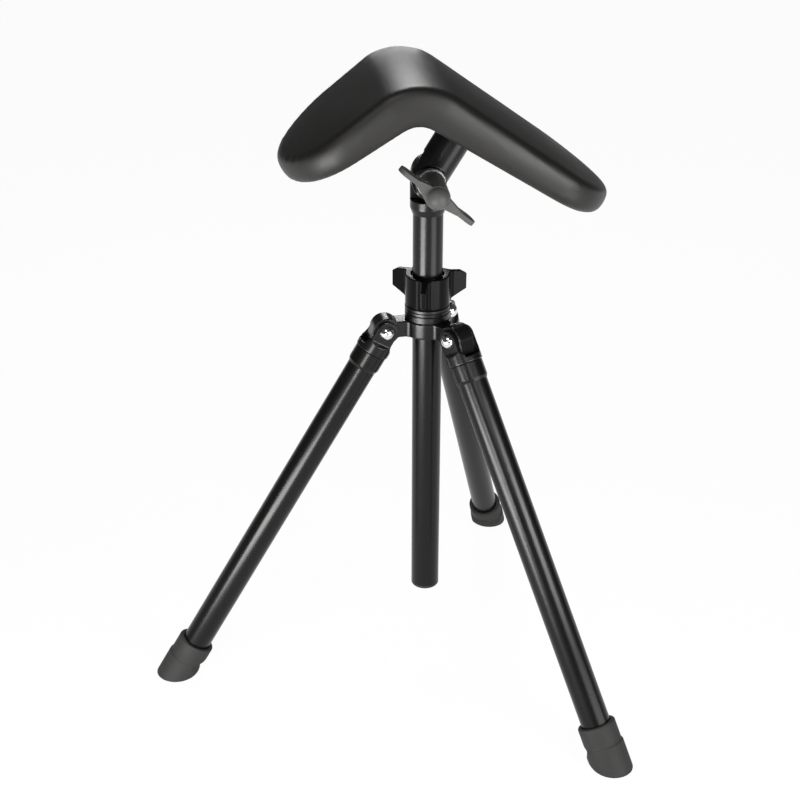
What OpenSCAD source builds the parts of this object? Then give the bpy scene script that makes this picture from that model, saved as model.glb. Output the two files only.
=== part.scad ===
// Folding tripod rest with a bent pad on a tilting head, in millimetres.
// +Z is up. The origin is on the floor, at the middle of the box round the three feet.
// The column leans nowhere: it stands over the middle of the feet, and the pad tilts on top of it.

/* [Column] */
// Outer diameter of the column tube
column_d = 28; // [26:0.5:30]
// Wall of the column tube
column_wall = 1.2; // [0.8:0.1:2]
// Length of the column tube
column_len = 408; // [380:1:470]
// Height of the column tube's lower end above the floor
column_clear = 79; // [70:1:110]
// Length of the end plug's spigot inside the column tube
plug_len = 14; // [8:1:25]
// Thickness of the end plug's head
plug_t = 4; // [3.5:0.5:8]

/* [Hub] */
// Height of the hub plate
hub_t = 15.5; // [12:0.5:18]
// Distance from the height of the leg pivots down to the plate's underside
hub_drop = 6.7; // [6:0.1:8]
// Wall of the hub's collar round its threaded neck
collar_wall = 3.2; // [2.8:0.1:5]
// Distance from the column axis to each leg's pivot
pivot_r = 40.8; // [40:0.2:50]
// Width of each hub arm and of the knuckle at its end
arm_w = 17.6; // [14:0.2:19]
// Radius of the knuckle at the end of each arm
knuckle_r = 13; // [11:0.25:14]
// Radius of the fillets between the arms and the collar
arm_fillet = 6; // [3:0.5:8]
// Wall of the hub's threaded neck
neck_wall = 2; // [1.5:0.1:3]
// Height of the threaded neck that stands in the clamp nut above the two rings
neck_engage = 17.5; // [12:0.5:22]
// Height of each lock ring
ring_t = 6.7; // [5:0.1:10]
// Wall of each lock ring
ring_wall = 2.7; // [2:0.1:4]
// Wall of the split collet
collet_wall = 2.35; // [1.5:0.05:3]
// Width of the collet's slits
collet_slit = 1.2; // [0.8:0.1:2]

/* [Clamp nut] */
// Height of the clamp nut
nut_h = 30; // [28.5:0.5:40]
// Wall of the clamp nut
nut_wall = 2.25; // [1.5:0.05:4]
// Distance from the column axis to the ends of the nut's wings
nut_wing_r = 39.5; // [32:0.5:46]
// Thickness of the nut's wings
nut_wing_t = 5; // [3:0.5:8]
// Radius of the fillets between the nut and its wings
nut_fillet = 8; // [3:0.5:10]
// Height of the straight outer edge of each wing
nut_wing_edge = 15; // [8:0.5:18]
// Angle of the first wing in the rest pose
nut_turn = 281.6; // [0:0.2:360]

/* [Legs] */
// Outer diameter of the leg tubes
leg_d = 28; // [26:0.5:29]
// Wall of the leg tubes
leg_wall = 1.2; // [0.8:0.1:2]
// Length of each leg tube
leg_len = 386.4; // [370:0.2:400]
// Angle of each open leg from the vertical
splay = 30.9; // [25:0.1:33]
// Distance from the leg pivot to the fork's shoulder on the tube
fork_len = 24.5; // [23.5:0.5:32]
// Diameter of the fork's round body
fork_d = 32.8; // [31:0.2:34]
// Radius of the fork's ears round the pivot
ear_r = 10; // [8.5:0.25:11]
// Thickness of each fork ear
ear_t = 4.25; // [3:0.25:5]
// Distance from the leg pivot to the floor of the fork's slot
slot_depth = 18.9; // [17:0.1:20]
// Length of the fork's spigot inside the leg tube
spigot_len = 34; // [20:1:60]
// Length of the ferrule below the fork
ferrule_len = 18; // [12:0.5:30]
// Wall of the ferrule
ferrule_wall = 1.5; // [1:0.1:2]

/* [Leg pivots] */
// Diameter of the pivot bolts
pivot_d = 6; // [5:0.5:8]
// Diameter of the domed heads and nuts
dome_d = 13.7; // [11:0.1:15]
// Height of the domes
dome_h = 4.6; // [3:0.1:6]
// Diameter of the sleeve of each pivot nut
sleeve_d = 8.4; // [8.2:0.1:10]
// Width across the flats of the socket in each pivot bolt
socket_af = 4; // [3:0.5:5]

/* [Feet] */
// Outer diameter of the rubber boots
boot_d = 38.8; // [37:0.2:41]
// Outer diameter of the boots' upper sleeve
boot_sleeve_d = 36.4; // [33:0.2:36.8]
// Distance along the leg from the floor to the boot's rim
boot_len = 43; // [40:1:60]
// Distance along the leg from the floor to the step of the boot
boot_step = 22; // [18:1:30]
// Rubber along the leg between the tube's end and the floor
sole_t = 16; // [14:1:22]
// Radius of the rounded edge of the sole
sole_round = 8; // [4:0.5:10]

/* [Tilt head] */
// Wall of the head round the column tube
head_wall = 2.75; // [2:0.25:5]
// Height of the solid head above the tube's end
head_web = 4.8; // [3:0.2:10]
// Depth of the tube's socket in the head
head_socket = 9.5; // [8:0.5:20]
// Height of the chamfer under the head
head_chamfer = 6.2; // [2:0.2:8]
// Gap between the head's ledge and the round foot of the stem
ledge_gap = 2.75; // [0.5:0.25:6]
// Height of the rounding centre of the head's tongue above the tilt pivot
tongue_rise = 1; // [0:0.5:6]
// Angle that the head is turned round the column in the rest pose
head_turn = 25.2; // [0:0.1:45]
// Angle that the stem leans from the vertical in the rest pose
lean = 31.8; // [0:0.1:40]
// Diameter of the tilt bolt
tilt_bolt_d = 8; // [6:0.5:10]
// Width across the flats of the tilt bolt's head
tilt_bolt_af = 13; // [11:0.5:15]
// Thickness of the friction washer between the two halves of the joint
friction_t = 0.9; // [0.5:0.1:2]
// Diameter of the friction washer
friction_d = 26; // [20:0.5:32]

/* [Stem] */
// Distance from the tilt pivot to the stem's upper end
stem_len = 44.2; // [44:0.2:60]
// Radius of the round boss under the tilt washer
boss_r = 14; // [12:0.5:15]
// Distance from the middle of the head to the face of the boss
boss_reach = 18.6; // [17.25:0.1:21]
// Diameter of the tilt washer
tilt_washer_d = 25.8; // [22:0.2:28]
// Thickness of the tilt washer
tilt_washer_t = 2; // [1:0.25:3]

/* [Tilt knob] */
// Diameter of the knob's hub and of its dome
knob_d = 22; // [19:0.2:24]
// Diameter of the knob's foot on the washer
knob_foot_d = 24.4; // [20:0.2:25]
// Length of the knob's hub up to the dome
knob_len = 40.5; // [34:0.5:44]
// Step from the hub's rim in to the dome
dome_step = 0.8; // [0.3:0.1:1.5]
// Distance from the middle of the wings to the middle of the dome
knob_wing_back = 7; // [0:0.5:12]
// Distance from the knob's axis to the end of each wing
knob_wing_r = 41.7; // [30:0.1:43]
// Thickness of the knob's wings
knob_wing_t = 4.5; // [3.5:0.25:6]
// Diameter of the round paddle at the end of each wing
knob_paddle_d = 17; // [13:0.5:19]
// Diameter of the threaded insert in the knob
insert_d = 13; // [11:0.5:14.5]
// Length of the threaded insert in the knob
insert_len = 18; // [12:0.5:22]
// Angle of the knob's wings below the level in the rest pose
knob_turn = 39; // [0:0.1:180]

/* [Pad mounting] */
// Diameter of the mounting flange
flange_d = 66; // [62:1:78]
// Thickness of the mounting flange
flange_t = 3; // [2.5:0.25:5]
// Diameter of the circle of the flange screws
screw_pcd = 50; // [46:0.5:52]
// Diameter of the flange screws
screw_d = 5; // [4:0.5:6]
// Diameter of the flange screws' heads
screw_head_d = 9; // [8:0.5:11]
// Height of the flange screws' countersunk heads
screw_head_t = 2; // [1.5:0.25:2.25]
// Diameter of the bolt that holds the flange to the stem
stem_bolt_d = 8; // [6:0.5:10]
// Diameter of that bolt's countersunk head
stem_bolt_head_d = 14; // [12:0.5:18]
// Thickness of the steel plate under the cushion
plate_t = 3; // [2:0.25:4]
// Width of the plate
plate_w = 90; // [82:1:100]
// Distance from the cushion's ends to the plate's ends
plate_inset = 44; // [36:1:50]

/* [Cushion] */
// Width of the cushion along the bend
pad_w = 169; // [140:1:190]
// Width that the arms would narrow to without their round ends
pad_tip_w = 152; // [130:1:165]
// Thickness of the cushion at the bend
pad_t = 38; // [30:0.5:45]
// Thickness of the cushion at the ends of its arms
pad_tip_t = 27.5; // [20:0.5:35]
// Angle that the short arm is bent down
pad_bend = 64.7; // [55:0.1:75]
// Inner radius of the bend
bend_r = 22; // [12:0.5:30]
// Distance from the stem's axis to the corner of the bend under the cushion
bend_offset = 53.6; // [50:0.2:70]
// Length of the long arm from that corner
long_arm = 201; // [180:1:240]
// Length of the short arm from that corner
short_arm = 126; // [112:1:150]
// Length of the rounding at the ends of the arms
pad_cap = 62; // [45:1:70]
// Rise of the crown across the top
pad_crown = 2.5; // [1:0.5:8]
// Angle by which the swelling side leans out under the upper edge
side_lean = 18; // [8:1:25]
// Angle by which it leans in above the lower edge
side_draft = 7; // [3:1:12]
// Radius of the upper edge
pad_edge = 7; // [4:0.5:12]
// Radius of the lower edge
pad_lower_edge = 8; // [3:0.5:12]
// Share of the thickness that the long arm loses at its tip
long_tip_loss = 0.38; // [0.1:0.02:0.44]
// Share of the thickness that the short arm loses at its tip
short_tip_loss = 0.12; // [0.06:0.02:0.44]

/* [Hidden] */
$fn = 96;
// Radial clearance of a shaft that turns or slides in its bore
run = 0.05;
// Clearance between parts that pass each other without guiding
pass = 0.3;
// Gap between flat faces of parts that turn against each other
face_gap = 0.1;
// Gap between the soft cushion and what it lies on
soft_gap = 0.3;
// Overlap that lets cuts run past a face
cut = 1;
// Small step that hides the joint line between two pieces on the same axis
edge_c = 0.7;
// Depth to which a fillet runs into the faces that it joins
web_bite = 0.05;
// Depth to which the faces of a bend cross those of its flats
bend_bite = 0.01;

LEG_LEFT = 210;
LEG_RIGHT = 330;
LEG_BACK = 90;

// Legs and floor
leg_r = leg_d / 2;
leg_reach = fork_len + leg_len + sole_t;
pivot_z = leg_reach * cos(splay);
foot_r = pivot_r + leg_reach * sin(splay);
// The box round three feet on a circle has its middle a quarter of the radius away from the circle's
column_y = -foot_r / 4;

// Radii outwards from the column
tube_r = column_d / 2;
collet_r = tube_r + run + collet_wall;
hub_bore_r = collet_r + run;
neck_r = hub_bore_r + neck_wall;
ring_r = neck_r + run + ring_wall;
collar_r = neck_r + collar_wall;
nut_bore_r = neck_r + pass;
nut_r = nut_bore_r + nut_wall;
mouth_gap = 1.6;
nut_mouth_r = tube_r + mouth_gap;

// Heights of the pieces on the hub
hub_z = pivot_z - hub_drop;
ring_z = hub_z + hub_t;
nut_z = ring_z + 2 * ring_t + face_gap;
neck_top = nut_z + neck_engage;
nut_top = nut_z + nut_h;
neck_end_gap = 1;
cone_z = neck_top + neck_end_gap;
cone_most = 8;
nut_lip = 2;
cone_h = min(cone_most, nut_top - cone_z - nut_lip);
collet_inset = 2.5;
collet_foot = hub_z + collet_inset;
collet_cone_gap = 0.45;
plug_round = 3;
nut_wing_low = nut_z + 0.33 * nut_h;
nut_rib = 1.2;
nut_wing_corner = 5.5;
ring_groove = 0.5;

// Knuckle at the end of each hub arm
heel_in = 0.3;
heel_out = 0.65 * knuckle_r;
heel_shoulder = 3.5;
heel_edge = 0.6;

// Fork
fork_r = fork_d / 2;
slot_w = arm_w + 3 * face_gap;
ear_out = slot_w / 2 + ear_t;
flare_r = 10;
flare_z = ear_r - 1;
scallop_floor = 12;
scallop_end = 16;
scallop_out = 4;
sleeve_back = 0.2;
thread_end = 1.5;
socket_deep = 3;
ferrule_gap = 0.4;
ferrule_bevel = 3;

// Tilt joint, with the pivot as its own origin
head_r = tube_r + head_wall;
tube_top = column_clear + column_len;
ledge_z = tube_top + head_web;
ledge_drop = head_r + ledge_gap;
tilt_z = ledge_z + ledge_drop;
head_foot = tube_top - head_socket - tilt_z;
lap = friction_t / 2 + face_gap / 2;
shoulder = tongue_rise + head_r + 2 * pass;
skirt_gap = 0.4;
bolt_head_t = 5;
bolt_head_room = 1.2;
bolt_seat = head_r - bolt_head_t - 0.75;

// Knob, measured along the tilt axis towards the front
washer_at = boss_reach + face_gap;
knob_at = washer_at + tilt_washer_t + face_gap;
knob_r = knob_d / 2;
dome_at = knob_at + knob_len;
wing_at = dome_at - knob_wing_back;
wing_root_t = 10;
wing_root_w = 12;
wing_neck = 0.58 * knob_wing_r;
dish_r = 18;
dish_deep = 1.1;
insert_at = knob_at + 0.5;
bolt_end = insert_at + insert_len + 1;
bolt_play = 0.5;

// Pad
screw_n = 4;
hole_play = 0.4;
stem_bolt_len = 15;
plate_z = stem_len + flange_t;
pad_z = plate_z + plate_t + soft_gap;
bend_run = bend_r * tan(pad_bend / 2);
plate_bend_r = bend_r - soft_gap;
CAP_STEPS = 10;
BEND_STEPS = 10;
ARM_STEPS = 4;
LOW_STEPS = 3;
SIDE_STEPS = 2;
TOP_STEPS = 4;
CROWN_STEPS = 6;
CAP_END = 87;
// Slope of the crown where it meets the upper edge
crown_edge = 4;
// Most of a section's height that one edge radius may take
edge_share = 0.3;
// Share of a tip's loss of thickness that its underside takes
tip_lift = 0.85;

// Places
module on_column() { translate([0, column_y, 0]) children(); }
module on_arm(turn) { on_column() rotate([0, 0, turn]) translate([pivot_r, 0, pivot_z]) children(); }
module on_leg(turn) { on_arm(turn) rotate([0, -splay, 0]) children(); }
module on_head() { on_column() translate([0, 0, tilt_z]) rotate([0, 0, head_turn]) children(); }
module on_stem() { on_head() rotate([0, lean, 0]) children(); }

// Shapes used more than once
module ring(outer, inner, height) {
  difference() {
    cylinder(r = outer, h = height);
    translate([0, 0, -cut]) cylinder(r = inner, h = height + 2 * cut);
  }
}
// A cylinder along the tilt axis, from one distance in front of the head's middle to another
module front_cylinder(radius, from, to) {
  translate([0, -from, 0]) rotate([90, 0, 0]) cylinder(r = radius, h = to - from);
}
// A round end on a straight bar that runs up to a height, cut out of a slab along Y
module lobe(radius, centre, up_to, from_y, to_y) {
  translate([0, to_y, 0]) rotate([90, 0, 0]) linear_extrude(to_y - from_y) union() {
    translate([0, centre]) circle(r = radius);
    translate([-radius, min(centre, up_to)]) square([2 * radius, abs(up_to - centre)]);
  }
}
module dome(width, height) {
  ball = (width * width / 4 + height * height) / (2 * height);
  intersection() {
    translate([0, 0, height - ball]) sphere(r = ball);
    cylinder(r = width, h = height + cut);
  }
}

// One side of a web that grows out of a round body with a fillet
module web_outline(body_r, half, fillet) {
  inner = body_r - web_bite;
  reach = inner + fillet;
  side = half - web_bite + fillet;
  along = sqrt(reach * reach - side * side);
  difference() {
    polygon([[0, 0], [along * inner / reach, side * inner / reach], [along, side], [along, 0]]);
    translate([along, side]) circle(r = fillet);
  }
}
module arm_outline(body_r, width, length, fillet) {
  translate([0, -width / 2]) square([length, width]);
  web_outline(body_r, width / 2, fillet);
  mirror([0, 1]) web_outline(body_r, width / 2, fillet);
}

// Hub
module hub_arm() {
  linear_extrude(hub_t) arm_outline(collar_r, arm_w, pivot_r, arm_fillet);
}
// The heel under each knuckle meets the floor of the fork's slot and stops the open leg
module knuckle() {
  heel = slot_depth - face_gap;
  translate([0, arm_w / 2, 0]) rotate([90, 0, 0]) linear_extrude(arm_w) union() {
    circle(r = knuckle_r);
    rotate(splay) polygon([
      [heel_in, 0], [heel_in, -heel], [heel_out, -heel], [knuckle_r - heel_edge, -heel_shoulder]
    ]);
  }
}
module hub() {
  color("#1c1c1e") difference() {
    union() {
      on_column() translate([0, 0, hub_z]) cylinder(r = collar_r, h = hub_t);
      on_column() translate([0, 0, hub_z]) cylinder(r = neck_r, h = neck_top - hub_z);
      for (turn = [LEG_LEFT, LEG_RIGHT, LEG_BACK]) {
        on_column() translate([0, 0, hub_z]) rotate([0, 0, turn]) hub_arm();
        on_arm(turn) knuckle();
      }
    }
    on_column() translate([0, 0, hub_z - cut]) cylinder(r = hub_bore_r, h = neck_top - hub_z + 2 * cut);
    for (turn = [LEG_LEFT, LEG_RIGHT, LEG_BACK]) {
      on_arm(turn) rotate([90, 0, 0]) cylinder(d = pivot_d + 2 * run, h = arm_w + 2 * cut, center = true);
    }
  }
}
module lock_ring(index) {
  middle = ring_t / 2;
  groove = index * ring_groove;
  color("#77787b") on_column() translate([0, 0, ring_z + index * ring_t]) rotate_extrude() polygon([
    [neck_r + run, 0], [ring_r - edge_c, 0], [ring_r, edge_c], [ring_r, middle - ring_groove],
    [ring_r - groove, middle], [ring_r, middle + ring_groove], [ring_r, ring_t - edge_c],
    [ring_r - edge_c, ring_t], [neck_r + run, ring_t]
  ]);
}

// Clamp nut and collet
module nut_wings() {
  inside = nut_bore_r + cut;
  edge_top = nut_wing_low + nut_wing_edge;
  intersection() {
    translate([0, 0, nut_z]) linear_extrude(nut_h) union() {
      for (i = [0:2]) rotate([0, 0, nut_turn + i * 120])
        arm_outline(nut_r, nut_wing_t, nut_wing_r + cut, nut_fillet);
    }
    rotate_extrude() polygon([
      [inside, nut_z + edge_c], [nut_r + nut_rib, nut_z + edge_c], [nut_r + nut_rib, nut_z + 2 * edge_c],
      [nut_wing_r, nut_wing_low], [nut_wing_r, edge_top],
      [nut_wing_r - nut_wing_corner, (edge_top + 2 * nut_top) / 3], [nut_r, nut_top], [inside, nut_top]
    ]);
  }
}
module clamp_nut() {
  color("#1a1a1b") on_column() difference() {
    union() {
      translate([0, 0, nut_z]) cylinder(r = nut_r, h = nut_h - edge_c);
      translate([0, 0, nut_top - edge_c]) cylinder(r1 = nut_r, r2 = nut_r - edge_c, h = edge_c);
      nut_wings();
    }
    rotate_extrude() polygon([
      [0, nut_z - cut], [nut_bore_r, nut_z - cut], [nut_bore_r, cone_z],
      [nut_mouth_r, cone_z + cone_h], [nut_mouth_r, nut_top + cut], [0, nut_top + cut]
    ]);
  }
}
module split_collet() {
  low = neck_top + face_gap;
  wide = nut_bore_r - collet_cone_gap;
  tip = nut_mouth_r - collet_cone_gap;
  color("#d8d8d2") on_column() difference() {
    rotate_extrude() polygon([
      [tube_r + run, collet_foot], [collet_r, collet_foot], [collet_r, low], [wide, low],
      [wide, cone_z], [tip, cone_z + cone_h], [tube_r + run, cone_z + cone_h]
    ]);
    for (turn = [0, 90]) {
      rotate([0, 0, turn + 45]) translate([-nut_r, -collet_slit / 2, ring_z + ring_t])
        cube([2 * nut_r, collet_slit, nut_h + 2 * ring_t]);
    }
  }
}

// Column
module column_tube() {
  color("#202022") on_column() translate([0, 0, column_clear])
    ring(tube_r, tube_r - column_wall, column_len);
}
module column_end_plug() {
  color("#2b2b2c") on_column() translate([0, 0, column_clear]) union() {
    rotate_extrude() intersection() {
      translate([0, -plug_t]) square([tube_r, plug_t]);
      union() {
        translate([0, -plug_t]) square([tube_r - plug_round, plug_t]);
        translate([0, plug_round - plug_t]) square([tube_r, plug_t]);
        translate([tube_r - plug_round, plug_round - plug_t]) circle(r = plug_round);
      }
    }
    cylinder(r = tube_r - column_wall, h = plug_len);
  }
}
module tilt_head() {
  color("#1d1d1f") on_head() difference() {
    union() {
      rotate_extrude() polygon([
        [0, head_foot], [tube_r + skirt_gap, head_foot], [head_r, head_foot + head_chamfer],
        [head_r, -ledge_drop], [0, -ledge_drop]
      ]);
      intersection() {
        translate([0, 0, -ledge_drop]) cylinder(r = head_r, h = ledge_drop + shoulder);
        lobe(head_r, tongue_rise, -ledge_drop, lap, head_r + cut);
      }
    }
    translate([0, 0, head_foot - cut]) cylinder(r = tube_r, h = head_socket + cut);
    front_cylinder(tilt_bolt_d / 2 + run, -head_r - cut, cut);
    front_cylinder(tilt_bolt_af / 2 + bolt_head_room, -head_r - cut, -bolt_seat);
  }
}
module tilt_bolt() {
  color("#b9bbbe") on_head() union() {
    front_cylinder(tilt_bolt_d / 2, -bolt_seat - 1, bolt_end);
    translate([0, bolt_seat + bolt_head_t, 0]) rotate([90, 0, 0])
      cylinder(d = tilt_bolt_af / cos(30), h = bolt_head_t, $fn = 6);
  }
}
module friction_washer() {
  color("#8a8a86") on_head() difference() {
    front_cylinder(friction_d / 2, -lap, friction_t - lap);
    front_cylinder(tilt_bolt_d / 2 + run, -head_r, head_r);
  }
}
module tilt_washer() {
  color("#c9cbce") on_head() difference() {
    front_cylinder(tilt_washer_d / 2, washer_at, washer_at + tilt_washer_t);
    front_cylinder(tilt_bolt_d / 2 + run, 0, knob_at + cut);
  }
}

// Stem
module pad_stem() {
  color("#1b1b1d") on_stem() difference() {
    union() {
      intersection() {
        translate([0, 0, -head_r]) cylinder(r = head_r, h = head_r + shoulder + cut);
        lobe(head_r, 0, shoulder + cut, -head_r - cut, -lap);
      }
      front_cylinder(boss_r, lap, boss_reach);
      translate([0, 0, shoulder]) cylinder(r = head_r, h = stem_len - shoulder);
    }
    front_cylinder(tilt_bolt_d / 2 + run, -cut, boss_reach + cut);
    translate([0, 0, stem_len - stem_bolt_len - cut]) cylinder(d = stem_bolt_d, h = stem_bolt_len + 2 * cut);
  }
}
module at_screws() {
  for (i = [0:screw_n - 1]) rotate([0, 0, 45 + i * 360 / screw_n])
    translate([screw_pcd / 2, 0, 0]) children();
}
module countersunk_head() {
  cylinder(d1 = stem_bolt_d, d2 = stem_bolt_head_d, h = flange_t);
}
module screw_head() {
  cylinder(d1 = screw_head_d, d2 = screw_d, h = screw_head_t);
}
module pad_flange() {
  color("#3a3a3c") on_stem() translate([0, 0, stem_len]) difference() {
    cylinder(d = flange_d, h = flange_t);
    countersunk_head();
    at_screws() translate([0, 0, -cut]) cylinder(d = screw_d + hole_play, h = flange_t + 2 * cut);
    at_screws() screw_head();
  }
}
module stem_bolt() {
  color("#9fa1a4") on_stem() translate([0, 0, stem_len]) union() {
    translate([0, 0, -stem_bolt_len]) cylinder(d = stem_bolt_d, h = stem_bolt_len);
    countersunk_head();
  }
}
module flange_screws() {
  color("#2c2d2f") on_stem() at_screws() translate([0, 0, stem_len]) union() {
    screw_head();
    cylinder(d = screw_d, h = flange_t + plate_t - soft_gap);
  }
}
// The bent plate seen from the side
module plate_profile() {
  from = bend_run - bend_offset;
  to = long_arm - plate_inset - bend_offset;
  short_to = short_arm - plate_inset;
  far = 2 * bend_r;
  outer = plate_bend_r + bend_bite;
  inner = plate_bend_r - plate_t + 4 * bend_bite;
  over = 1.5 * acos(plate_bend_r / outer);
  difference() {
    union() {
      translate([from, plate_z]) square([to - from, plate_t]);
      translate([-bend_offset, pad_z]) rotate(pad_bend) translate([-short_to, -soft_gap - plate_t])
        square([short_to - bend_run, plate_t]);
      translate([from, pad_z - bend_r]) intersection() {
        circle(r = outer);
        polygon([
          [0, 0], [far * sin(over), far * cos(over)], [-far * tan(pad_bend / 2), far],
          [-far * sin(pad_bend + over), far * cos(pad_bend + over)]
        ]);
      }
    }
    translate([from, pad_z - bend_r]) circle(r = inner);
  }
}
module pad_plate() {
  color("#2c2c2d") on_stem() difference() {
    rotate([90, 0, 0]) linear_extrude(plate_w, center = true) plate_profile();
    translate([0, 0, plate_z - cut]) at_screws() cylinder(d = screw_d, h = plate_t + 2 * cut);
  }
}

// Cushion: rings across the arms, from the short arm's tip round the bend to the long arm's tip
function cap_angle(i) = CAP_END * i / (CAP_STEPS - 1);
function arm_width(d, len) = pad_w - (pad_w - pad_tip_w) * d / len;
function arm_thick(d, len) = pad_t - (pad_t - pad_tip_t) * d / len;
function reversed(list) = [for (i = [len(list) - 1:-1:0]) list[i]];
function turn_at(from, to, share) = from + (to - from) * share;
// The side of the cushion from its underside to its crown, as [inset from the outline, height]
function rim(h) =
  let (
    low = min(pad_lower_edge, edge_share * h),
    top = min(pad_edge, edge_share * h),
    crease = 90 - side_lean,
    draft = 90 + side_draft,
    foot = low * (1 + cos(draft)),
    side = (h - foot - top * (cos(crown_edge) - cos(crease))) / (cos(crease) - cos(draft)),
    widest = foot - side * cos(draft)
  )
  concat(
    [for (i = [0:LOW_STEPS - 1]) let (a = turn_at(180, draft, i / LOW_STEPS))
      [side * (1 - sin(draft)) + low * (sin(draft) - sin(a)), low + low * cos(a)]],
    [for (i = [0:SIDE_STEPS - 1]) let (a = turn_at(draft, crease, i / SIDE_STEPS))
      [side * (1 - sin(a)), widest + side * cos(a)]],
    [for (i = [0:TOP_STEPS]) let (a = turn_at(crease, crown_edge, i / TOP_STEPS))
      [side * (1 - sin(crease)) + top * (sin(crease) - sin(a)), h + top * (cos(a) - cos(crown_edge))]]
  );
// One ring, as [along, across, up]; out is the outline's outward normal
function ring(w, t, crown, lift, out) =
  let (
    side = [for (p = rim(t - crown)) [-out[0] * p[0], w / 2 - out[1] * p[0], p[1] + lift]],
    edge = side[len(side) - 1],
    half = concat(side, [for (i = [1:CROWN_STEPS - 1]) let (s = 1 - i / CROWN_STEPS)
      [edge[0], edge[1] * s, t + lift - crown * s * s]])
  )
  concat(
    [[side[0][0], 0, lift]], half, [[edge[0], 0, t + lift]],
    [for (p = reversed(half)) [p[0], -p[1], p[2]]]
  );
function arm_ring(d, len, turn, side, a, loss) =
  let (
    w = arm_width(d, len),
    full = arm_thick(d, len),
    t = full * (1 - loss * pow(1 - cos(a), 2)),
    lean = [sin(a) / pad_cap, 2 * cos(a) / w]
  )
  [for (p = ring(w * cos(a), t, pad_crown * cos(a), tip_lift * (full - t), lean / norm(lean))) [
    side * (d + p[0]) * cos(turn) - p[2] * sin(turn) - bend_offset,
    p[1],
    pad_z - (d + p[0]) * sin(turn) + p[2] * cos(turn)
  ]];
function arm_rings(len, turn, side, loss) = concat(
  [for (i = [0:ARM_STEPS - 1])
    arm_ring(bend_run + (len - pad_cap - bend_run) * i / ARM_STEPS, len, turn, side, 0, loss)],
  [for (i = [0:CAP_STEPS - 1])
    arm_ring(len - pad_cap + pad_cap * sin(cap_angle(i)), len, turn, side, cap_angle(i), loss)]
);
function bend_ring(a) =
  [for (p = ring(arm_width(bend_run, long_arm), arm_thick(bend_run, long_arm), pad_crown, 0, [0, 1])) [
    bend_run - bend_offset - (bend_r + p[2]) * sin(a), p[1], pad_z - bend_r + (bend_r + p[2]) * cos(a)
  ]];
module pad_cushion() {
  rings = concat(
    reversed(arm_rings(short_arm, pad_bend, -1, short_tip_loss)),
    [for (i = [BEND_STEPS - 1:-1:1]) bend_ring(pad_bend * i / BEND_STEPS)],
    arm_rings(long_arm, 0, 1, long_tip_loss)
  );
  n = len(rings[0]);
  edge = LOW_STEPS + SIDE_STEPS + TOP_STEPS;
  last = (len(rings) - 1) * n;
  skin = [for (r = [0:len(rings) - 2], i = [0:n - 1]) let (j = (i + 1) % n)
    each [[r * n + i, (r + 1) * n + i, (r + 1) * n + j], [r * n + i, (r + 1) * n + j, r * n + j]]];
  start = concat(
    [[2, 0, 1], [2, n - 1, 0], [2, n - 2, n - 1]],
    [for (i = [2:edge - 1]) each [[i, i + 1, n - i - 1], [i, n - i - 1, n - i]]],
    [for (i = [edge + 1:n - edge - 1]) [edge, i, i + 1]]
  );
  finish = [for (f = start) [last + f[2], last + f[1], last + f[0]]];
  color("#262627") on_stem()
    polyhedron(points = [for (r = rings) each r], faces = concat(skin, start, finish));
}

// Knob
module knob_wing() {
  paddle = knob_wing_r - knob_paddle_d / 2;
  translate([0, -wing_at, 0]) difference() {
    intersection() {
      linear_extrude(wing_root_t, center = true) union() {
        translate([paddle, 0]) circle(d = knob_paddle_d);
        polygon([
          [0, wing_root_w / 2], [0, -wing_root_w / 2], [knob_r, -wing_root_w / 2],
          [paddle, -knob_paddle_d / 2], [paddle, knob_paddle_d / 2], [knob_r, wing_root_w / 2]
        ]);
      }
      rotate([90, 0, 0]) linear_extrude(knob_paddle_d + cut, center = true) polygon([
        [0, wing_root_t / 2], [knob_r, wing_root_t / 2], [wing_neck, knob_wing_t / 2],
        [knob_wing_r + cut, knob_wing_t / 2], [knob_wing_r + cut, -knob_wing_t / 2],
        [wing_neck, -knob_wing_t / 2], [knob_r, -wing_root_t / 2], [0, -wing_root_t / 2]
      ]);
    }
    for (side = [-1, 1])
      translate([paddle, 0, side * (knob_wing_t / 2 + dish_r - dish_deep)]) sphere(r = dish_r);
  }
}
module tilt_knob() {
  color("#6f7072") on_head() rotate([0, knob_turn, 0]) difference() {
    union() {
      rotate([90, 0, 0]) rotate_extrude() polygon([
        [0, knob_at], [knob_foot_d / 2, knob_at], [knob_r, dome_at], [0, dome_at]
      ]);
      translate([0, -dome_at, 0]) intersection() {
        sphere(r = knob_r - dome_step);
        front_cylinder(knob_r, 0, knob_r);
      }
      knob_wing();
      rotate([0, 180, 0]) knob_wing();
    }
    front_cylinder(insert_d / 2, knob_at - cut, insert_at + insert_len);
    front_cylinder(tilt_bolt_d / 2 + bolt_play, insert_at + insert_len - cut, bolt_end + cut);
  }
}
module knob_insert() {
  color("#b5953f") on_head() difference() {
    front_cylinder(insert_d / 2, insert_at, insert_at + insert_len);
    front_cylinder(tilt_bolt_d / 2 + run, insert_at - cut, insert_at + insert_len + cut);
  }
}

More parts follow.
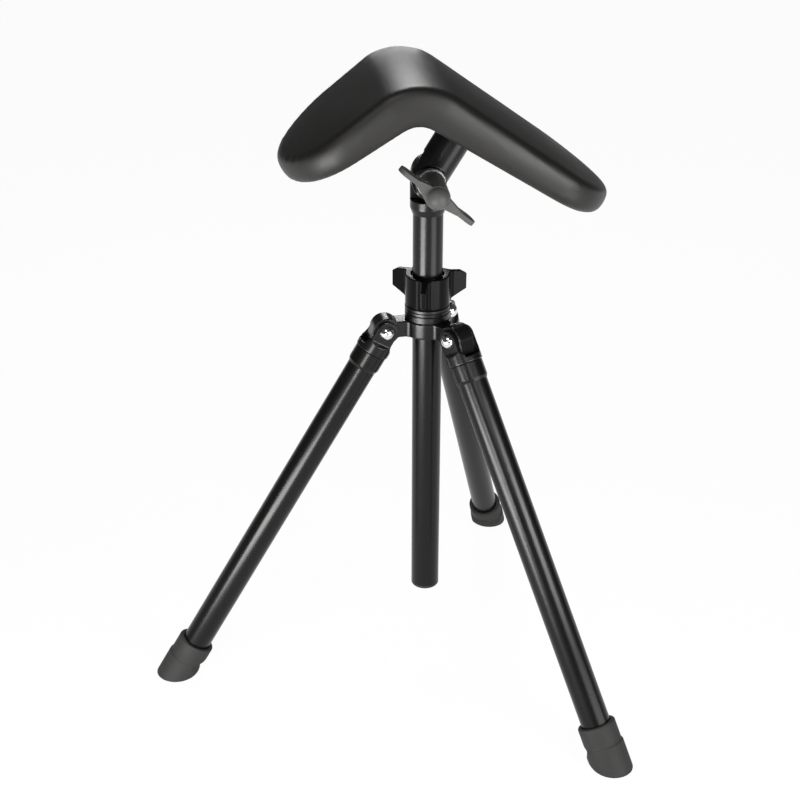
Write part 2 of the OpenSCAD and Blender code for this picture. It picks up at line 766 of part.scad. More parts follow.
// Legs, drawn upright below the pivot with the outside of the splay towards +X
module fork_outline() {
  flare = fork_r - ear_r;
  difference() {
    union() {
      circle(r = ear_r);
      translate([-ear_r, -fork_len]) square([2 * ear_r, fork_len]);
      translate([-fork_r, -fork_len]) square([2 * fork_r, fork_len - flare_z]);
    }
    for (side = [-1, 1]) translate([side * (ear_r + flare_r), -flare_z]) circle(r = flare_r);
  }
}
module leg_fork() {
  high = ear_r + cut;
  color("#1b1b1c") difference() {
    union() {
      intersection() {
        translate([0, 0, -fork_len]) cylinder(r = fork_r, h = fork_len + high);
        translate([0, fork_r, 0]) rotate([90, 0, 0]) linear_extrude(2 * fork_r) fork_outline();
      }
      translate([0, 0, -fork_len - spigot_len]) cylinder(r = leg_r - leg_wall, h = spigot_len + cut);
    }
    for (side = [0, 1]) mirror([0, side, 0]) rotate([90, 0, 90]) linear_extrude(4 * fork_r, center = true)
      polygon([
        [ear_out, high], [ear_out, -scallop_floor], [ear_out + scallop_out, -scallop_end],
        [ear_out + 2 * scallop_out, high]
      ]);
    translate([-2 * fork_r, -slot_w / 2, -slot_depth]) cube([4 * fork_r, slot_w, slot_depth + high]);
    rotate([90, 0, 0]) cylinder(d = pivot_d, h = 4 * fork_r, center = true);
    rotate([-90, 0, 0]) cylinder(d = sleeve_d, h = 2 * fork_r);
    rotate([90, 0, 0]) cylinder(d = sleeve_d, h = 2 * fork_r);
  }
}
module leg_ferrule() {
  top = -fork_len - ferrule_gap;
  outer = leg_r + ferrule_wall;
  color("#232324") rotate_extrude() polygon([
    [leg_r, top], [outer - ferrule_gap, top], [outer, top - ferrule_gap],
    [outer, top - ferrule_len + ferrule_bevel], [leg_r + pass, top - ferrule_len], [leg_r, top - ferrule_len]
  ]);
}
module leg_tube() {
  color("#202022") translate([0, 0, -fork_len - leg_len]) ring(leg_r, leg_r - leg_wall, leg_len);
}
module leg_boot() {
  rim = leg_reach - boot_len;
  step = leg_reach - boot_step;
  foot = leg_reach + boot_d;
  sleeve_r = boot_sleeve_d / 2;
  body_r = boot_d / 2;
  step_h = body_r - sleeve_r;
  // The sole is cut level with the floor and rounded about an upright axis through its middle
  color("#3c3d3e") difference() {
    intersection() {
      rotate_extrude() polygon([
        [0, -rim], [sleeve_r - step_h, -rim], [sleeve_r, -rim - step_h], [sleeve_r, -step + step_h / 2],
        [body_r, -step - step_h / 2], [body_r, -foot], [0, -foot]
      ]);
      translate([0, 0, -leg_reach]) rotate([0, splay, 0]) sole_limit();
    }
    translate([0, 0, -fork_len - leg_len]) cylinder(r = leg_r, h = leg_len);
  }
}
module sole_limit() {
  wide = boot_d / 2 / cos(splay) + 2 * pass;
  rotate_extrude() union() {
    square([wide - sole_round, 2 * boot_len]);
    translate([0, sole_round]) square([wide, sole_round]);
    translate([wide - sole_round, sole_round]) circle(r = sole_round);
    translate([0, 2 * sole_round]) square([2 * wide, 2 * boot_len]);
  }
}
// The bolt's head is on one side of the fork and the domed nut on the other
module domed_sleeve() {
  translate([0, 0, ear_out]) dome(dome_d, dome_h);
  translate([0, 0, slot_w / 2 + sleeve_back]) cylinder(d = sleeve_d, h = ear_t);
}
module pivot_bolt(side) {
  color("#d5d7da") rotate([side * 90, 0, 0]) difference() {
    union() {
      domed_sleeve();
      translate([0, 0, thread_end - ear_out]) cylinder(d = pivot_d, h = 2 * ear_out - thread_end);
    }
    translate([0, 0, ear_out + dome_h - socket_deep])
      cylinder(d = socket_af / cos(30), h = socket_deep + cut, $fn = 6);
  }
}
module pivot_nut(side) {
  color("#d5d7da") rotate([-side * 90, 0, 0]) difference() {
    domed_sleeve();
    cylinder(d = pivot_d, h = ear_out - thread_end + face_gap);
  }
}

hub();
lock_ring(0);  // lower_lock_ring
lock_ring(1);  // upper_lock_ring
clamp_nut();
split_collet();
column_tube();
column_end_plug();
tilt_head();
tilt_bolt();
friction_washer();
tilt_washer();
pad_stem();
pad_flange();
stem_bolt();
flange_screws();
pad_plate();
pad_cushion();
tilt_knob();
knob_insert();
on_leg(LEG_LEFT) leg_fork();  // left_fork
on_leg(LEG_LEFT) leg_ferrule();  // left_ferrule
on_leg(LEG_LEFT) leg_tube();  // left_tube
on_leg(LEG_LEFT) leg_boot();  // left_boot
on_leg(LEG_LEFT) pivot_bolt(1);  // left_pivot_bolt
on_leg(LEG_LEFT) pivot_nut(1);  // left_pivot_nut
on_leg(LEG_RIGHT) leg_fork();  // right_fork
on_leg(LEG_RIGHT) leg_ferrule();  // right_ferrule
on_leg(LEG_RIGHT) leg_tube();  // right_tube
on_leg(LEG_RIGHT) leg_boot();  // right_boot
on_leg(LEG_RIGHT) pivot_bolt(-1);  // right_pivot_bolt
on_leg(LEG_RIGHT) pivot_nut(-1);  // right_pivot_nut
on_leg(LEG_BACK) leg_fork();  // back_fork
on_leg(LEG_BACK) leg_ferrule();  // back_ferrule
on_leg(LEG_BACK) leg_tube();  // back_tube
on_leg(LEG_BACK) leg_boot();  // back_boot
on_leg(LEG_BACK) pivot_bolt(-1);  // back_pivot_bolt
on_leg(LEG_BACK) pivot_nut(-1);  // back_pivot_nut
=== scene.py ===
# %% [markdown]
# A folding tripod rest. Three tubular legs hinge on a cast hub, a column slides through a clamp nut,
# and a bent foam pad sits on a tilting head with a winged knob. The metal and plastic parts come
# ready made from CAD as a fixed frame. This lesson gives them their finishes, softens the edges of
# the castings and mouldings, and models the pad and the small screws.

# %% Load the frame
import math

import bmesh
import bpy
from mathutils import Matrix, Vector


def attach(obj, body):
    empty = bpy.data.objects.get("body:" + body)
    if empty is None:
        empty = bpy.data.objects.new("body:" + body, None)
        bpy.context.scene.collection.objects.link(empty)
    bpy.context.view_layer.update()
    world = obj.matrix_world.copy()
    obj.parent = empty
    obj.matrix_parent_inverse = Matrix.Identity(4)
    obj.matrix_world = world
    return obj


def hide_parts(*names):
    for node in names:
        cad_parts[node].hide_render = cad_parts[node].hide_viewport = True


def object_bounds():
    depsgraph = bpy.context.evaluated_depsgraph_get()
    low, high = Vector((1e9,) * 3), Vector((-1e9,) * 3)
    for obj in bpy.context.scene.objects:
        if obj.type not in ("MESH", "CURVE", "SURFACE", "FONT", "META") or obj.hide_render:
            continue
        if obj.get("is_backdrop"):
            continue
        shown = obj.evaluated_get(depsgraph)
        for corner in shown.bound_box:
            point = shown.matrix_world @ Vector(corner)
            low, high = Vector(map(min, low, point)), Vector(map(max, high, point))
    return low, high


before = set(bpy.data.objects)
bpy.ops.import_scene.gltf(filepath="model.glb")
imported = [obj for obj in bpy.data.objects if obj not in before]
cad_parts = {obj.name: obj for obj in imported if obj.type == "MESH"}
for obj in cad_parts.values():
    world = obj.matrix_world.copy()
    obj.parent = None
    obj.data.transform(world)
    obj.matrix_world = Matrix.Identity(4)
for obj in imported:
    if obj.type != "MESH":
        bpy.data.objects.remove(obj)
cad_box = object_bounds()
scene = bpy.context.scene
MM = 0.001
print("CAD nodes:", len(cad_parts), "size in mm:", [round(s / MM) for s in cad_box[1] - cad_box[0]])

# %% [markdown]
# The camera stands where the photographer's did: a little to the right of the front, about 90 cm
# above the floor, with a short telephoto lens. Its place was worked out from the feet and the
# parallel sides of the tubes, so it is written here as plain numbers: where the lens is, and the
# direction it looks in. A tiny shift of the picture takes up the last pixel.

# %% Camera
EYE = Vector((0.3607, -1.2304, 0.8966))
LOOK = Vector((-0.2818, 0.8488, -0.4473))
LENS_MM = 63.08
FILM_WIDTH_MM = 36.0
PICTURE_SHIFT = -0.0011
camera = bpy.data.objects.new("camera", bpy.data.cameras.new("camera"))
camera.data.sensor_width = FILM_WIDTH_MM
camera.data.lens = LENS_MM
camera.data.shift_x = PICTURE_SHIFT
camera.data.clip_start = 0.05
camera.location = EYE
camera.rotation_euler = LOOK.to_track_quat("-Z", "Y").to_euler()
scene.collection.objects.link(camera)
scene.camera = camera
scene.view_settings.view_transform = "Standard"
print("camera at", [round(c, 3) for c in EYE], "lens in mm:", LENS_MM)

# %% [markdown]
# The light is a plain product studio, planned backwards from the highlights on the real thing. On a
# black object nearly everything that shows is a mirror image of a lamp, so each highlight says where
# a lamp stood. The broad patch on the ridge of the pad mirrors a box above and behind it. The bright
# tops of the nut and of the hub's arms mirror a small one behind the column. The long streaks on the
# tubes mirror boxes in front, on both sides of the camera: two low ones, a small bright one on the
# left, and a broad one on the right that also lights the side of the pad. One box high on the left
# lights the dome of the knob, and a weak one in front fills in. The room is dim, so black stays black.

# %% Lamps
FOCUS = Vector((0.0, -0.06, 0.5))
TO_CAMERA = math.atan2(-LOOK.y, -LOOK.x)
ROOM_STRENGTH = 0.08
LAMPS = (
    # name, degrees to the right of the camera, degrees up, then metres away, wide and high, and glow
    ("ridge_box", 185, 40, 1.40, 0.46, 0.36, 19.0),
    ("back_strip", 185, 10, 0.62, 0.16, 0.06, 14.0),
    ("left_low_box", -39, -25, 0.80, 0.42, 0.20, 24.0),
    ("left_box", -20, -8, 1.00, 0.22, 0.18, 25.0),
    ("upper_left_box", -24, 44, 1.20, 0.44, 0.44, 6.0),
    ("right_low_box", 44, -25, 0.85, 0.50, 0.22, 5.0),
    ("right_box", 42, 4, 1.00, 0.50, 0.30, 17.0),
    ("front_box", 10, 16, 1.00, 0.36, 0.30, 4.0),
)


def soft_box(name, side, climb, distance, width, height, glow):
    """A box that faces FOCUS. The glow is its brightness, so a larger box isn't a dimmer one."""
    turn = TO_CAMERA + math.radians(side)
    rise = math.radians(climb)
    away = Vector((math.cos(turn) * math.cos(rise), math.sin(turn) * math.cos(rise), math.sin(rise)))
    lamp = bpy.data.lights.new(name, "AREA")
    lamp.shape = "RECTANGLE"
    lamp.size = width
    lamp.size_y = height
    lamp.energy = glow * math.pi * width * height
    holder = bpy.data.objects.new(name, lamp)
    holder.location = FOCUS + away * distance
    holder.rotation_euler = (-away).to_track_quat("-Z", "Y").to_euler()
    holder.visible_camera = False
    scene.collection.objects.link(holder)


for lamp_row in LAMPS:
    soft_box(*lamp_row)
world = bpy.data.worlds.new("dim_room")
world.use_nodes = True
room = world.node_tree.nodes["Background"].inputs
room["Color"].default_value = (1, 1, 1, 1)
room["Strength"].default_value = ROOM_STRENGTH
scene.world = world
print("lamps:", len(LAMPS))

# %% [markdown]
# The floor is a plain pale sheet. For the camera, and for what mirrors it or shows it through glass,
# most of it is plain white, so the background is as clean as in a catalogue. The small rest stays
# matt, so the floor still takes a faint shadow of the feet.

# %% Floor
FLOOR_HALF = 6.0
FLOOR_MATT = (0.86, 0.86, 0.86, 1)
FLOOR_WHITE_SHARE = 0.96


def floor_finish():
    paint = bpy.data.materials.new("pale_floor")
    paint.use_nodes = True
    nodes, links = paint.node_tree.nodes, paint.node_tree.links
    nodes.clear()
    out = nodes.new("ShaderNodeOutputMaterial")
    blend = nodes.new("ShaderNodeMixShader")
    matt = nodes.new("ShaderNodeBsdfDiffuse")
    matt.inputs["Color"].default_value = FLOOR_MATT
    white = nodes.new("ShaderNodeEmission")
    white.inputs["Strength"].default_value = 1.0
    rays = nodes.new("ShaderNodeLightPath")
    seen = nodes.new("ShaderNodeMath")
    seen.operation = "MAXIMUM"
    seen_through = nodes.new("ShaderNodeMath")
    seen_through.operation = "MAXIMUM"
    share = nodes.new("ShaderNodeMath")
    share.operation = "MULTIPLY"
    share.inputs[1].default_value = FLOOR_WHITE_SHARE
    links.new(rays.outputs["Is Camera Ray"], seen.inputs[0])
    links.new(rays.outputs["Is Glossy Ray"], seen.inputs[1])
    links.new(seen.outputs[0], seen_through.inputs[0])
    links.new(rays.outputs["Is Transmission Ray"], seen_through.inputs[1])
    links.new(seen_through.outputs[0], share.inputs[0])
    links.new(share.outputs[0], blend.inputs[0])
    links.new(matt.outputs[0], blend.inputs[1])
    links.new(white.outputs[0], blend.inputs[2])
    links.new(blend.outputs[0], out.inputs["Surface"])
    return paint


floor_mesh = bpy.data.meshes.new("floor")
corners = [(x * FLOOR_HALF, y * FLOOR_HALF, 0.0) for x, y in ((-1, -1), (1, -1), (1, 1), (-1, 1))]
floor_mesh.from_pydata(corners, [], [(0, 1, 2, 3)])
floor_mesh.materials.append(floor_finish())
floor = bpy.data.objects.new("floor", floor_mesh)
scene.collection.objects.link(floor)
floor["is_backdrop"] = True
print("floor of", 2 * FLOOR_HALF, "m")

# %% [markdown]
# Several finishes share the same small effects, so each effect is a node group with named inputs
# and outputs, built once. The first is a fine relief: noise read on Object coordinates, in metres,
# turned into a normal by a Bump node. Powder coat, moulded plastic and rubber all use it at
# different scales. The second is the grain of a moulded foam skin, which has small cells with soft
# valleys between them, so it starts from a Voronoi pattern. The third is the uneven gloss of a
# handled surface, and the fourth finds the edges that have been rubbed.

# %% Node group helpers
def new_group(name, inputs, outputs):
    """A shader node group with float inputs {name: default} and outputs {name: socket type}."""
    group = bpy.data.node_groups.new(name, "ShaderNodeTree")
    for label, value in inputs.items():
        socket = group.interface.new_socket(label, in_out="INPUT", socket_type="NodeSocketFloat")
        socket.default_value = value
    for label, kind in outputs.items():
        group.interface.new_socket(label, in_out="OUTPUT", socket_type=kind)
    return group, group.nodes.new("NodeGroupInput"), group.nodes.new("NodeGroupOutput")


def math_node(tree, operation, first, second=None, clamp=False):
    node = tree.nodes.new("ShaderNodeMath")
    node.operation = operation
    node.use_clamp = clamp
    for socket, value in zip(node.inputs, (first, second)):
        if value is None:
            continue
        if isinstance(value, (int, float)):
            socket.default_value = value
        else:
            tree.links.new(value, socket)
    return node.outputs[0]


def noise_node(tree, vector, scale, detail=3.0, roughness=0.55):
    node = tree.nodes.new("ShaderNodeTexNoise")
    node.inputs["Detail"].default_value = detail
    node.inputs["Roughness"].default_value = roughness
    tree.links.new(vector, node.inputs["Vector"])
    if isinstance(scale, (int, float)):
        node.inputs["Scale"].default_value = scale
    else:
        tree.links.new(scale, node.inputs["Scale"])
    return node.outputs["Fac"]


def object_coordinates(tree):
    return tree.nodes.new("ShaderNodeTexCoord").outputs["Object"]


def bump_node(tree, height, depth):
    """Depth is the height of the relief in metres."""
    node = tree.nodes.new("ShaderNodeBump")
    tree.links.new(height, node.inputs["Height"])
    node.inputs["Strength"].default_value = 1.0
    tree.links.new(depth, node.inputs["Distance"])
    return node.outputs["Normal"]


# %% Shared effects
SWELL_PER_METRE = 45.0
NOISE_LOW, NOISE_HIGH = 0.3, 0.7
EDGE_GAIN = 4.0
BREAKS_PER_METRE, BREAKS_FROM, BREAKS_GAIN = 350.0, 0.42, 5.0


def fine_relief_group():
    group, inside, outside = new_group(
        "fine_relief", {"Per metre": 1500.0, "Depth": 0.00001}, {"Normal": "NodeSocketVector"}
    )
    height = noise_node(group, object_coordinates(group), inside.outputs["Per metre"])
    group.links.new(bump_node(group, height, inside.outputs["Depth"]), outside.inputs["Normal"])
    return group


def skin_grain_group():
    """Small domed cells with soft valleys; a slow swell makes some patches deeper than others."""
    group, inside, outside = new_group(
        "skin_grain",
        {"Per metre": 900.0, "Depth": 0.00003},
        {"Normal": "NodeSocketVector", "Valley": "NodeSocketFloat"},
    )
    place = object_coordinates(group)
    cells = group.nodes.new("ShaderNodeTexVoronoi")
    cells.feature = "SMOOTH_F1"
    cells.inputs["Smoothness"].default_value = 0.6
    group.links.new(place, cells.inputs["Vector"])
    group.links.new(inside.outputs["Per metre"], cells.inputs["Scale"])
    swell = noise_node(group, place, SWELL_PER_METRE, 2.0)
    domes = math_node(group, "SUBTRACT", 1.0, cells.outputs["Distance"])
    height = math_node(group, "MULTIPLY", domes, math_node(group, "ADD", swell, 0.5))
    group.links.new(cells.outputs["Distance"], outside.inputs["Valley"])
    group.links.new(bump_node(group, height, inside.outputs["Depth"]), outside.inputs["Normal"])
    return group


def handled_group():
    """Broad, faint differences of gloss where a surface has been handled."""
    group, inside, outside = new_group(
        "handled", {"Per metre": 25.0, "From": 0.3, "To": 0.4}, {"Roughness": "NodeSocketFloat"}
    )
    patches = noise_node(group, object_coordinates(group), inside.outputs["Per metre"], 4.0)
    spread = group.nodes.new("ShaderNodeMapRange")
    spread.inputs["From Min"].default_value = NOISE_LOW
    spread.inputs["From Max"].default_value = NOISE_HIGH
    group.links.new(patches, spread.inputs["Value"])
    group.links.new(inside.outputs["From"], spread.inputs["To Min"])
    group.links.new(inside.outputs["To"], spread.inputs["To Max"])
    group.links.new(spread.outputs["Result"], outside.inputs["Roughness"])
    return group


def rubbed_edge_group():
    """Where the edges of a coated part have been rubbed, found from a rounded normal."""
    group, inside, outside = new_group(
        "rubbed_edge", {"Reach": 0.0006, "Amount": 0.5}, {"Mask": "NodeSocketFloat"}
    )
    rounded = group.nodes.new("ShaderNodeBevel")
    rounded.samples = 4
    group.links.new(inside.outputs["Reach"], rounded.inputs["Radius"])
    flat = group.nodes.new("ShaderNodeNewGeometry")
    agree = group.nodes.new("ShaderNodeVectorMath")
    agree.operation = "DOT_PRODUCT"
    group.links.new(rounded.outputs["Normal"], agree.inputs[0])
    group.links.new(flat.outputs["Normal"], agree.inputs[1])
    apart = math_node(group, "SUBTRACT", 1.0, agree.outputs["Value"])
    bent = math_node(group, "MULTIPLY", apart, EDGE_GAIN, clamp=True)
    noise = noise_node(group, object_coordinates(group), BREAKS_PER_METRE, 4.0)
    high = math_node(group, "SUBTRACT", noise, BREAKS_FROM, clamp=True)
    patchy = math_node(group, "MULTIPLY", high, BREAKS_GAIN, clamp=True)
    both = math_node(group, "MULTIPLY", bent, patchy)
    mask = math_node(group, "MULTIPLY", both, inside.outputs["Amount"], clamp=True)
    group.links.new(mask, outside.inputs["Mask"])
    return group


FINE_RELIEF = fine_relief_group()
SKIN_GRAIN = skin_grain_group()
HANDLED = handled_group()
RUBBED_EDGE = rubbed_edge_group()
print("shared effects:", [g.name for g in (FINE_RELIEF, SKIN_GRAIN, HANDLED, RUBBED_EDGE)])

# %% [markdown]
# The two lock rings are turned on a lathe, which leaves lines that run round the axis. The pattern
# is noise that is stretched: fast along the radius and the height, slow round the turn. The axis of
# the rings is vertical, so radius, height and a little of the turn are enough.

# %% Turned lines
TURN_STRETCH = 0.0004


def turned_lines_group():
    group, inside, outside = new_group(
        "turned_lines",
        {"Axis X": 0.0, "Axis Y": 0.0, "Per metre": 6000.0, "Depth": 0.000006},
        {"Normal": "NodeSocketVector", "Line": "NodeSocketFloat"},
    )
    split = group.nodes.new("ShaderNodeSeparateXYZ")
    group.links.new(object_coordinates(group), split.inputs[0])
    across = math_node(group, "SUBTRACT", split.outputs["X"], inside.outputs["Axis X"])
    along = math_node(group, "SUBTRACT", split.outputs["Y"], inside.outputs["Axis Y"])
    across_squared = math_node(group, "MULTIPLY", across, across)
    along_squared = math_node(group, "MULTIPLY", along, along)
    radius = math_node(group, "SQRT", math_node(group, "ADD", across_squared, along_squared))
    turn = math_node(group, "MULTIPLY", math_node(group, "ARCTAN2", along, across), TURN_STRETCH)
    joined = group.nodes.new("ShaderNodeCombineXYZ")
    group.links.new(radius, joined.inputs["X"])
    group.links.new(turn, joined.inputs["Y"])
    group.links.new(split.outputs["Z"], joined.inputs["Z"])
    line = noise_node(group, joined.outputs[0], inside.outputs["Per metre"], 2.0, 0.7)
    group.links.new(line, outside.inputs["Line"])
    group.links.new(bump_node(group, line, inside.outputs["Depth"]), outside.inputs["Normal"])
    return group


TURNED_LINES = turned_lines_group()
print("turned lines:", [socket.name for socket in TURNED_LINES.interface.items_tree])

# %% [markdown]
# A finish is one Principled BSDF. Its constant values are written straight on the shader's own
# sockets, and the groups only feed what changes over the surface: the normal, the roughness and the
# colour of rubbed edges.

# %% Finish helpers
RUB_REACH = 0.5 * MM
RUB_AMOUNT = 0.35


def new_finish(name, colour, roughness, metallic=0.0, specular=0.5):
    paint = bpy.data.materials.new(name)
    paint.use_nodes = True
    shader = paint.node_tree.nodes["Principled BSDF"]
    shader.inputs["Base Color"].default_value = (*colour, 1)
    shader.inputs["Roughness"].default_value = roughness
    shader.inputs["Metallic"].default_value = metallic
    shader.inputs["Specular IOR Level"].default_value = specular
    return paint, shader


def add_effect(paint, group, **values):
    node = paint.node_tree.nodes.new("ShaderNodeGroup")
    node.node_tree = group
    for label, value in values.items():
        node.inputs[label.replace("_", " ")].default_value = value
    return node


def rub_edges(paint, shader, colour, worn):
    tree = paint.node_tree
    rub = add_effect(paint, RUBBED_EDGE, Reach=RUB_REACH, Amount=RUB_AMOUNT)
    mix = tree.nodes.new("ShaderNodeMix")
    mix.data_type = "RGBA"
    mix.inputs["A"].default_value = (*colour, 1)
    mix.inputs["B"].default_value = (*worn, 1)
    tree.links.new(rub.outputs["Mask"], mix.inputs["Factor"])
    tree.links.new(mix.outputs["Result"], shader.inputs["Base Color"])


def coated_finish(name, colour, rough_from, rough_to, per_metre, depth, specular=0.5, worn=None):
    """Paint, powder coat, rubber or moulded plastic: a fine relief, patches of gloss, rubbed edges."""
    paint, shader = new_finish(name, colour, rough_from, specular=specular)
    tree = paint.node_tree
    relief = add_effect(paint, FINE_RELIEF, Per_metre=per_metre, Depth=depth)
    gloss = add_effect(paint, HANDLED, From=rough_from, To=rough_to)
    tree.links.new(relief.outputs["Normal"], shader.inputs["Normal"])
    tree.links.new(gloss.outputs["Roughness"], shader.inputs["Roughness"])
    if worn:
        rub_edges(paint, shader, colour, worn)
    return paint


print("every rubbed edge reaches", round(RUB_REACH / MM, 2), "mm in")

# %% [markdown]
# The tubes are powder coated in black, with a soft gloss and a faint orange peel. The cast hub,
# forks, head and stem are enamelled and worn a little at the edges. The nut is moulded nylon. All
# three are darker than they look, because what the eye sees on black gloss is mostly reflection.

# %% Black finishes
GLOSS_BLACK = coated_finish(
    "gloss_powder_coat", (0.003, 0.003, 0.0028), 0.23, 0.28,
    per_metre=900.0, depth=0.000002, specular=0.24,
)
CAST_BLACK = coated_finish(
    "cast_enamel", (0.004, 0.004, 0.004), 0.20, 0.28,
    per_metre=1400.0, depth=0.000007, specular=0.26, worn=(0.05, 0.05, 0.052),
)
NUT_BLACK = coated_finish(
    "moulded_nylon", (0.003, 0.003, 0.003), 0.18, 0.24,
    per_metre=2200.0, depth=0.000005, specular=0.07, worn=(0.02, 0.02, 0.02),
)
print("black finishes:", [finish.name for finish in (GLOSS_BLACK, CAST_BLACK, NUT_BLACK)])

# %% [markdown]
# The boots are plain dark grey rubber, quite matt. The tilt knob is moulded in a lighter grey
# plastic with a soft sheen and the fine texture of its mould. The collet and the friction washer
# are uncoloured nylon.

# %% Rubber and plastics
BOOT_RUBBER = coated_finish(
    "boot_rubber", (0.018, 0.0175, 0.017), 0.60, 0.74,
    per_metre=1800.0, depth=0.000020, specular=0.30, worn=(0.055, 0.055, 0.053),
)
KNOB_PLASTIC = coated_finish(
    "knob_plastic", (0.060, 0.060, 0.058), 0.44, 0.54,
    per_metre=2600.0, depth=0.000014, specular=0.22, worn=(0.10, 0.10, 0.098),
)
NATURAL_NYLON = coated_finish(
    "natural_nylon", (0.62, 0.61, 0.57), 0.42, 0.5, per_metre=1500.0, depth=0.000008
)
print("rubber and plastics:", [finish.name for finish in (BOOT_RUBBER, KNOB_PLASTIC, NATURAL_NYLON)])

# %% [markdown]
# Bare metals: polished chrome for the domes, zinc-plated steel for bolts and washers, blackened steel
# for the screws, dark turned rings and a brass insert. A metal has no diffuse colour of its own, so
# fine lines and patches of gloss are what make it read as metal. The bent plate under the pad and
# its flange are steel too, but enamelled.

# %% Bare metals
LINE_SMOOTHER = 0.08
LINE_ROUGHER = 0.14


def metal_finish(name, colour, rough_from, rough_to, per_metre=2500.0, depth=0.000003):
    paint, shader = new_finish(name, colour, rough_from, metallic=1.0)
    tree = paint.node_tree
    relief = add_effect(paint, FINE_RELIEF, Per_metre=per_metre, Depth=depth)
    gloss = add_effect(paint, HANDLED, Per_metre=120.0, From=rough_from, To=rough_to)
    tree.links.new(relief.outputs["Normal"], shader.inputs["Normal"])
    tree.links.new(gloss.outputs["Roughness"], shader.inputs["Roughness"])
    return paint


def turned_finish(name, colour, rough, axis):
    paint, shader = new_finish(name, colour, rough, metallic=1.0)
    tree = paint.node_tree
    lines = add_effect(paint, TURNED_LINES, Axis_X=axis[0], Axis_Y=axis[1])
    spread = tree.nodes.new("ShaderNodeMapRange")
    spread.inputs["To Min"].default_value = rough - LINE_SMOOTHER
    spread.inputs["To Max"].default_value = rough + LINE_ROUGHER
    tree.links.new(lines.outputs["Line"], spread.inputs["Value"])
    tree.links.new(spread.outputs["Result"], shader.inputs["Roughness"])
    tree.links.new(lines.outputs["Normal"], shader.inputs["Normal"])
    return paint


COLUMN_Y = -65.0077 * MM
CHROME = metal_finish(
    "polished_chrome", (0.80, 0.81, 0.83), 0.06, 0.10, per_metre=600.0, depth=0.000002
)
ZINC_STEEL = metal_finish("zinc_steel", (0.62, 0.62, 0.64), 0.22, 0.34)
BLACKENED_STEEL = metal_finish("blackened_steel", (0.05, 0.05, 0.052), 0.30, 0.40)
RING_STEEL = turned_finish("turned_ring", (0.038, 0.038, 0.039), 0.32, (0.0, COLUMN_Y))
BRASS = metal_finish("brass", (0.66, 0.49, 0.22), 0.25, 0.35)
PLATE_BLACK = coated_finish(
    "plate_enamel", (0.018, 0.018, 0.019), 0.36, 0.48,
    per_metre=800.0, depth=0.000010, specular=0.45, worn=(0.12, 0.12, 0.12),
)
print("finishes:", len(bpy.data.materials))

# %% [markdown]
# The pad's skin is moulded with the foam. It has a fine grain, a satin gloss that is a little
# uneven, and no seam. The valleys of the grain are slightly rougher than its tops.

# %% Pad skin
VALLEY_ROUGHER = 0.10


def pad_skin_finish():
    paint, shader = new_finish("moulded_skin", (0.0090, 0.0085, 0.0078), 0.38, specular=0.30)
    tree = paint.node_tree
    grain = add_effect(paint, SKIN_GRAIN, Per_metre=1100.0, Depth=0.000020)
    gloss = add_effect(paint, HANDLED, Per_metre=18.0, From=0.35, To=0.42)
    rougher = math_node(tree, "MULTIPLY_ADD", grain.outputs["Valley"], VALLEY_ROUGHER)
    tree.links.new(gloss.outputs["Roughness"], rougher.node.inputs[2])
    tree.links.new(rougher, shader.inputs["Roughness"])
    tree.links.new(grain.outputs["Normal"], shader.inputs["Normal"])
    return paint


PAD_SKIN = pad_skin_finish()
print("pad skin:", PAD_SKIN.name)

# %% [markdown]
# Nodes whose CAD shape is already right keep it and only get their finish: the tubes, ferrules,
# rings, washers, bolts, domes, the collet, the plug and the steel under the pad.

# %% Dress the CAD nodes
LEGS = ("left", "right", "back")
DRESSED = {
    GLOSS_BLACK: ["column_tube"] + [f"{leg}_{part}" for leg in LEGS for part in ("tube", "ferrule")],
    RING_STEEL: ["lower_lock_ring", "upper_lock_ring"],
    CHROME: [f"{leg}_{part}" for leg in LEGS for part in ("pivot_bolt", "pivot_nut")],
    ZINC_STEEL: ["tilt_bolt", "tilt_washer", "stem_bolt"],
    NATURAL_NYLON: ["split_collet", "friction_washer"],
    BRASS: ["knob_insert"],
    PLATE_BLACK: ["pad_flange", "pad_plate"],
    BOOT_RUBBER: ["column_end_plug"],
}


def dress(node, finish):
    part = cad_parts[node]
    if not part.material_slots:
        part.data.materials.append(finish)
    for holder in part.material_slots:
        holder.material = finish


for finish, names in DRESSED.items():
    for name in names:
        dress(name, finish)
print("dressed as they are:", sum(len(names) for names in DRESSED.values()))

# %% [markdown]
# Castings and mouldings never have razor edges: molten metal and plastic leave small fillets in
# every corner. Rounding each edge by hand would be slow, so a copy of the CAD solid is remeshed in
# fine voxels and smoothed a few times. Flat faces stay flat, and every edge and corner gets a small
# even radius. The voxel size decides how small.

# %% Remeshing helpers
WELD = 0.001 * MM
SMOOTHING = 0.5


def evaluated(maker):
    """The mesh that an object's modifiers make of it; the object itself is removed."""
    graph = bpy.context.evaluated_depsgraph_get()
    mesh = bpy.data.meshes.new_from_object(maker.evaluated_get(graph))
    bpy.data.objects.remove(maker)
    return mesh


def remeshed(mesh, finish, voxel, passes, subdivisions=0):
    """The mesh again in even faces and smoothed; the voxel is in mm."""
    rough = bpy.data.objects.new("rough", mesh)
    scene.collection.objects.link(rough)
    voxels = rough.modifiers.new("voxels", "REMESH")
    voxels.mode = "VOXEL"
    voxels.voxel_size = voxel * MM
    soften = rough.modifiers.new("soften", "SMOOTH")
    soften.factor = SMOOTHING
    soften.iterations = passes
    if subdivisions:
        finer = rough.modifiers.new("finer", "SUBSURF")
        finer.levels = finer.render_levels = subdivisions
    result = evaluated(rough)
    result.materials.clear()
    result.materials.append(finish)
    result.polygons.foreach_set("use_smooth", [True] * len(result.polygons))
    return result


